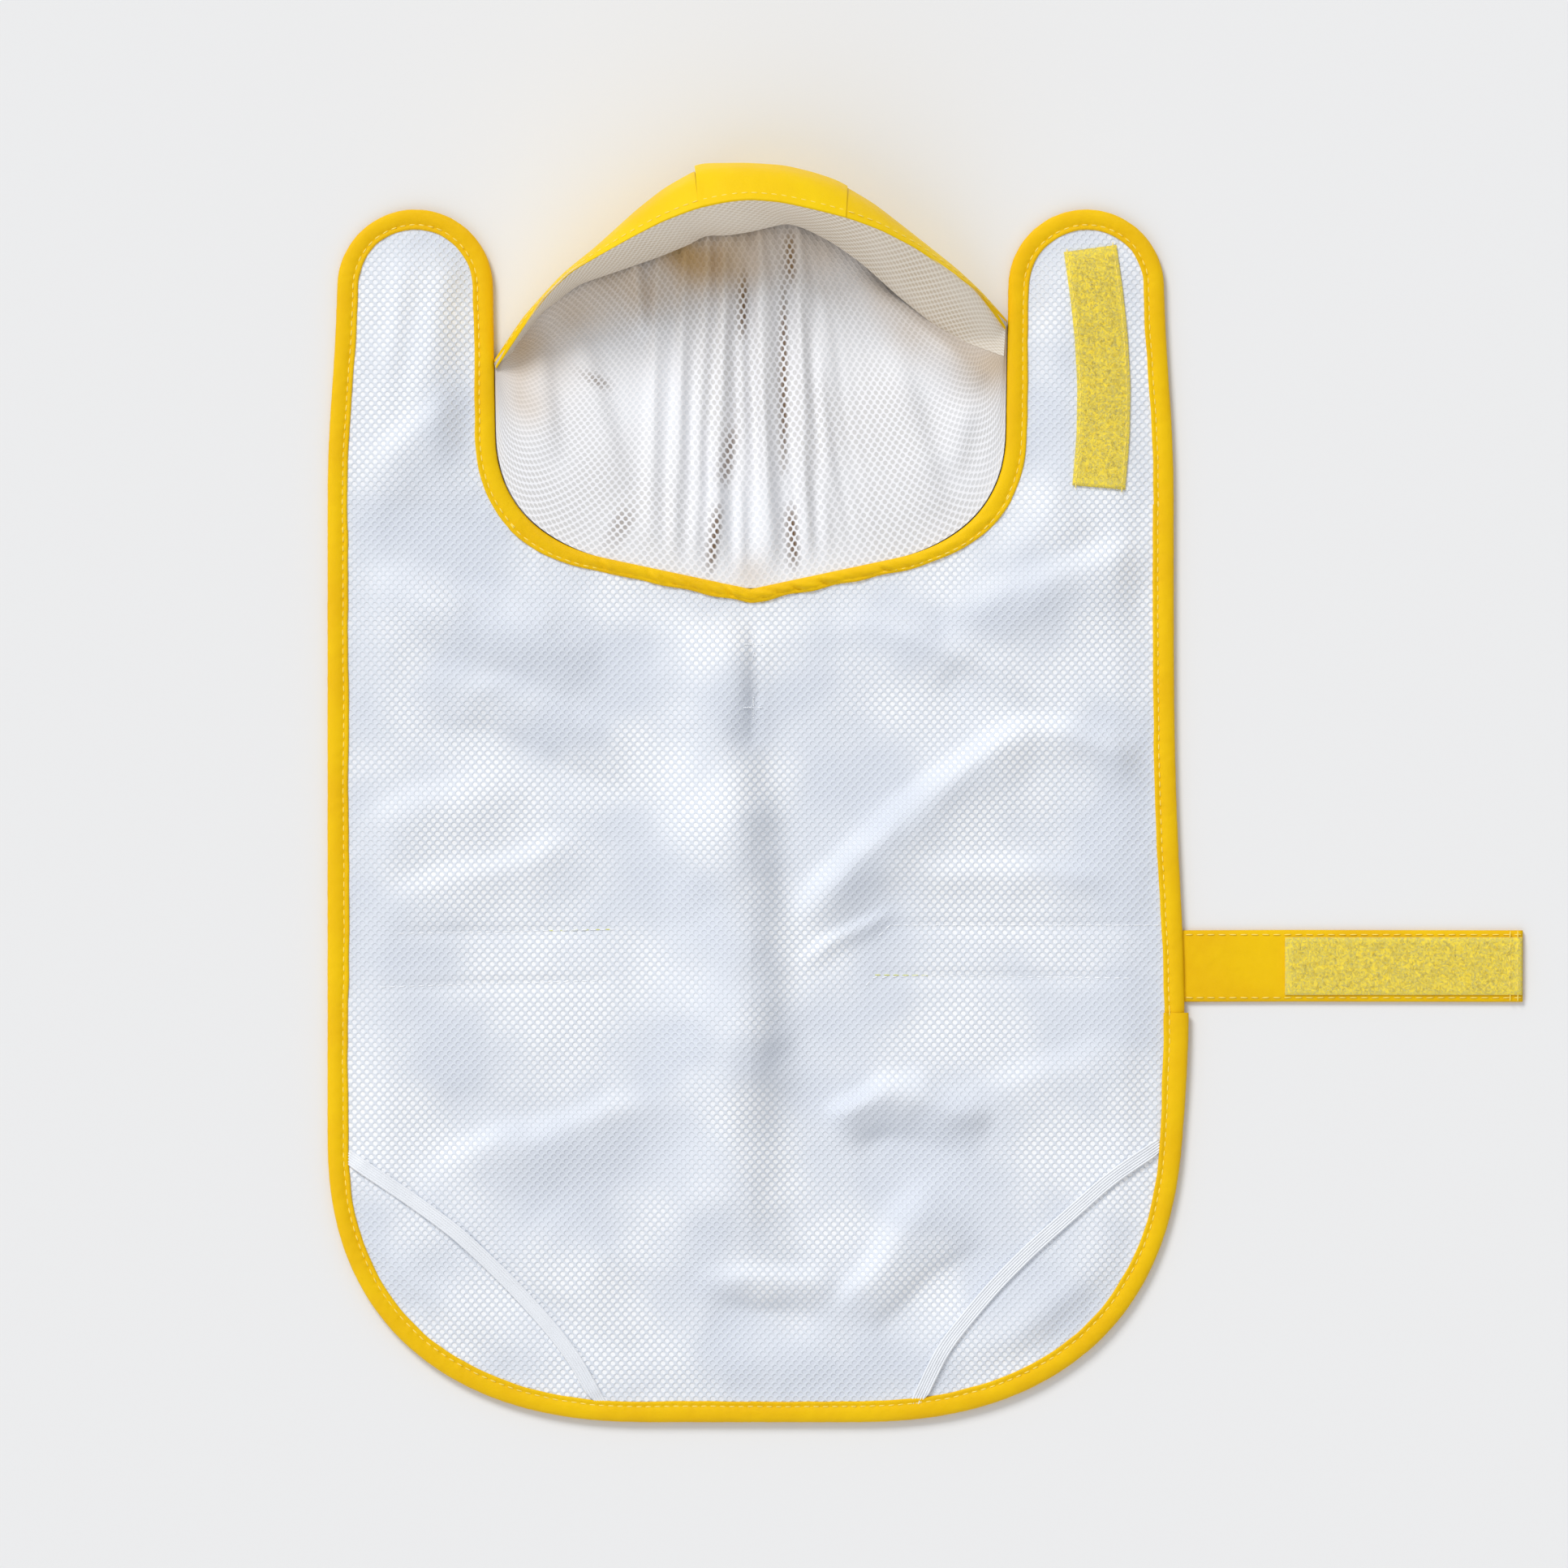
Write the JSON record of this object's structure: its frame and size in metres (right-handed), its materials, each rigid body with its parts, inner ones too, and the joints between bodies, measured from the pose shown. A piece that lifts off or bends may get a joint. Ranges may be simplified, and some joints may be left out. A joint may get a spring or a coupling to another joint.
{
  "type": "hooded dog rain coat",
  "caption": "Hooded rain coat for a medium dog, laid open with its white mesh lining up: bound yellow shell, chest tabs, hood, leg elastics and a belly strap with hook-and-loop tape.",
  "frame": {"origin": "centre back at the hem: under the hem binding, in the middle of its width", "axes": "+X to the belly strap's side, +Y from the hem towards the hood, +Z out of the lining"},
  "size_m": [0.5594, 0.5859, 0.0582],
  "materials": {
    "coated_shell": "satin coated cloth",
    "mesh_lining": "knitted mesh",
    "binding": "satin",
    "hook_and_loop": "fuzzy pile",
    "elastic": "ribbed"
  },
  "bodies": {
    "back": {"back_shell": "coated_shell", "back_lining": "mesh_lining", "neck_binding": "binding", "hem_binding": "binding", "left_tape_inner_end": "hook_and_loop", "right_tape_inner_end": "hook_and_loop", "hood_base_shell": "coated_shell", "hood_base_lining": "mesh_lining"},
    "left_flank": {"left_flank_shell": "coated_shell", "left_flank_lining": "mesh_lining", "left_side_binding": "binding", "left_belly_tape": "hook_and_loop"},
    "right_flank": {"right_flank_shell": "coated_shell", "right_flank_lining": "mesh_lining", "right_side_binding": "binding", "lapped_binding_end": "binding", "right_belly_tape": "hook_and_loop", "strap_anchor": "coated_shell"},
    "left_tab": {"left_tab_shell": "coated_shell", "left_tab_lining": "mesh_lining", "left_tab_binding": "binding", "left_tab_tape": "hook_and_loop"},
    "right_tab": {"right_tab_shell": "coated_shell", "right_tab_lining": "mesh_lining", "right_tab_binding": "binding", "right_tab_tape": "hook_and_loop"},
    "belly_strap": {"strap_outer_layer": "coated_shell", "strap_inner_layer": "coated_shell", "strap_tape": "hook_and_loop"},
    "hood": {"hood_left_shell": "coated_shell", "hood_crown_shell": "coated_shell", "hood_right_shell": "coated_shell", "hood_left_lining": "mesh_lining", "hood_crown_lining": "mesh_lining", "hood_right_lining": "mesh_lining", "hood_facing": "mesh_lining"},
    "left_leg_elastic": {"left_leg_elastic": "elastic"},
    "right_leg_elastic": {"right_leg_elastic": "elastic"}
  },
  "joints": [
    {"name": "left_flank_fold", "type": "hinge", "parent": "back", "child": "left_flank", "pos_m": [-0.0861, 0.20725, 0.0043], "axis": [-0.0897, 0.996, 0], "range_deg": [0, 90]},
    {"name": "right_flank_fold", "type": "hinge", "parent": "back", "child": "right_flank", "pos_m": [0.09423, 0.21325, 0.0043], "axis": [-0.0879, -0.9961, 0], "range_deg": [0, 90]},
    {"name": "left_tab_fold", "type": "hinge", "parent": "left_flank", "child": "left_tab", "pos_m": [-0.157, 0.41925, 0.0043], "axis": [1, 0, 0], "range_deg": [0, 90]},
    {"name": "right_tab_fold", "type": "hinge", "parent": "right_flank", "child": "right_tab", "pos_m": [0.157, 0.43125, 0.0043], "axis": [1, 0, 0], "range_deg": [0, 90]},
    {"name": "belly_strap_fold", "type": "hinge", "parent": "right_flank", "child": "belly_strap", "pos_m": [0.20418, 0.20865, 0.0019], "axis": [0, -1, 0], "range_deg": [0, 90]},
    {"name": "hood_fold", "type": "hinge", "parent": "back", "child": "hood", "pos_m": [0, 0.46025, 0.0043], "axis": [1, 0, 0], "range_deg": [0, 60]},
    {"name": "left_elastic_lift", "type": "hinge", "parent": "left_flank", "child": "left_leg_elastic", "pos_m": [-0.1309, 0.06076, 0.0031], "axis": [0.7214, -0.6925, 0], "range_deg": [0, 75]},
    {"name": "right_elastic_lift", "type": "hinge", "parent": "right_flank", "child": "right_leg_elastic", "pos_m": [0.13628, 0.06426, 0.0031], "axis": [0.6898, 0.724, 0], "range_deg": [0, 75]}
  ]
}
